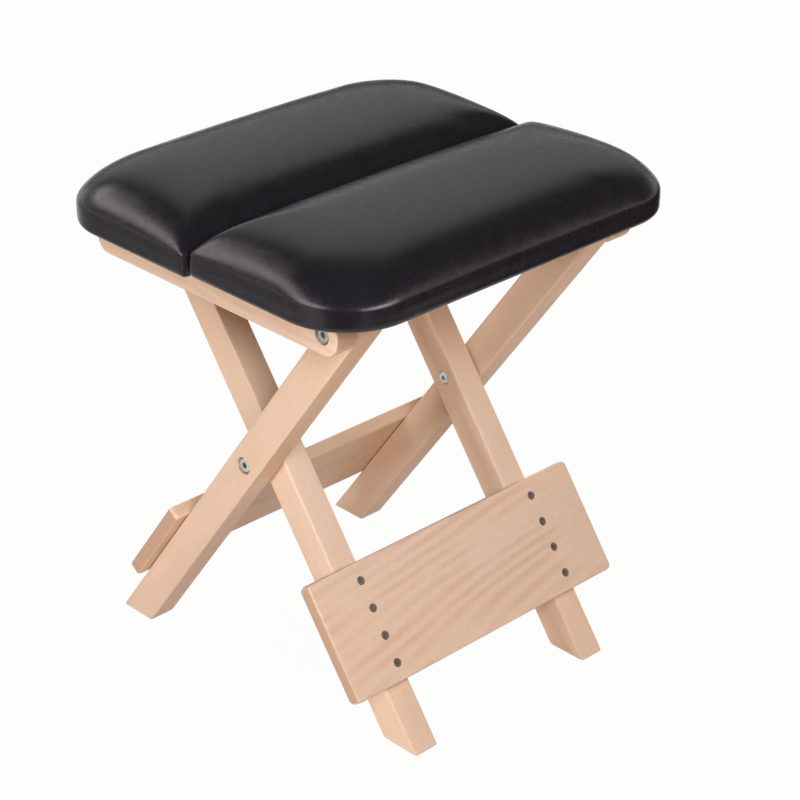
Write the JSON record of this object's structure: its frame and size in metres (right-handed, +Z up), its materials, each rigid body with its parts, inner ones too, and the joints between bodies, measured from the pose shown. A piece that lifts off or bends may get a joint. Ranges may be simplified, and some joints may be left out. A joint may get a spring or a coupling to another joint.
{
  "type": "folding stool",
  "caption": "Folding stool: crossed beech legs bolted at a pivot, wide plank stretchers, and a padded leatherette seat split in halves that part as the legs close.",
  "frame": {"origin": "on the floor, under the middle of the leg pivots and of the seat's split", "axes": "+X to the front, where the outer legs' tops are hinged; +Y along the seat's split, to the right as seen from the front; +Z up"},
  "size_m": [0.341, 0.372, 0.4346],
  "materials": {
    "beech": "satin clear lacquer on light beech",
    "plywood": "raw plywood",
    "leatherette": "satin charcoal leatherette with a fine grain",
    "foam": "open-cell upholstery foam",
    "lining_cloth": "thin black dust cloth",
    "steel": "zinc-plated steel",
    "black_steel": "black phosphated steel"
  },
  "bodies": {
    "outer_frame": {"outer_leg_left": "beech", "outer_leg_right": "beech", "rear_stretcher": "beech", "rear_stretcher_screw_1": "black_steel", "rear_stretcher_screw_2": "black_steel", "rear_stretcher_screw_3": "black_steel", "rear_stretcher_screw_4": "black_steel", "rear_stretcher_screw_5": "black_steel", "rear_stretcher_screw_6": "black_steel", "rear_stretcher_screw_7": "black_steel", "rear_stretcher_screw_8": "black_steel", "pivot_bolt_left": "steel", "pivot_washer_left": "steel", "pivot_nut_left": "steel", "pivot_bolt_right": "steel", "pivot_washer_right": "steel", "pivot_nut_right": "steel", "outer_hinge_bolt_left": "steel", "outer_hinge_washer_left": "steel", "outer_hinge_nut_left": "steel", "outer_hinge_bolt_right": "steel", "outer_hinge_washer_right": "steel", "outer_hinge_nut_right": "steel"},
    "inner_frame": {"inner_leg_left": "beech", "inner_leg_right": "beech", "front_stretcher": "beech", "front_stretcher_screw_1": "black_steel", "front_stretcher_screw_2": "black_steel", "front_stretcher_screw_3": "black_steel", "front_stretcher_screw_4": "black_steel", "front_stretcher_screw_5": "black_steel", "front_stretcher_screw_6": "black_steel", "front_stretcher_screw_7": "black_steel", "front_stretcher_screw_8": "black_steel", "inner_hinge_bolt_left": "steel", "inner_hinge_washer_left": "steel", "inner_hinge_nut_left": "steel", "inner_hinge_bolt_right": "steel", "inner_hinge_washer_right": "steel", "inner_hinge_nut_right": "steel"},
    "rear_seat": {"outer_rail_left": "beech", "outer_rail_right": "beech", "rear_seat_board": "plywood", "rear_seat_foam": "foam", "rear_seat_cover": "leatherette", "rear_seat_lining": "lining_cloth", "rear_seat_screw_1": "black_steel", "rear_seat_screw_2": "black_steel", "rear_seat_screw_3": "black_steel", "rear_seat_screw_4": "black_steel"},
    "front_seat": {"inner_rail_left": "beech", "inner_rail_right": "beech", "front_seat_board": "plywood", "front_seat_foam": "foam", "front_seat_cover": "leatherette", "front_seat_lining": "lining_cloth", "front_seat_screw_1": "black_steel", "front_seat_screw_2": "black_steel", "front_seat_screw_3": "black_steel", "front_seat_screw_4": "black_steel"}
  },
  "joints": [
    {"name": "leg_fold", "type": "hinge", "parent": "outer_frame", "child": "inner_frame", "pos_m": [0, 0, 0.205], "axis": [0, 1, 0], "range_deg": [0, 71]},
    {"name": "rear_seat_hinge", "type": "hinge", "parent": "outer_frame", "child": "rear_seat", "pos_m": [0.11912, 0, 0.36776], "axis": [0, 1, 0], "range_deg": [0, 35.5]},
    {"name": "front_seat_hinge", "type": "hinge", "parent": "inner_frame", "child": "front_seat", "pos_m": [-0.11912, 0, 0.36776], "axis": [0, 1, 0], "range_deg": [-35.5, 0]}
  ],
  "couplings": [
    {"joint": "rear_seat_hinge", "follows": "leg_fold", "ratio": 0.5},
    {"joint": "front_seat_hinge", "follows": "leg_fold", "ratio": -0.5}
  ]
}
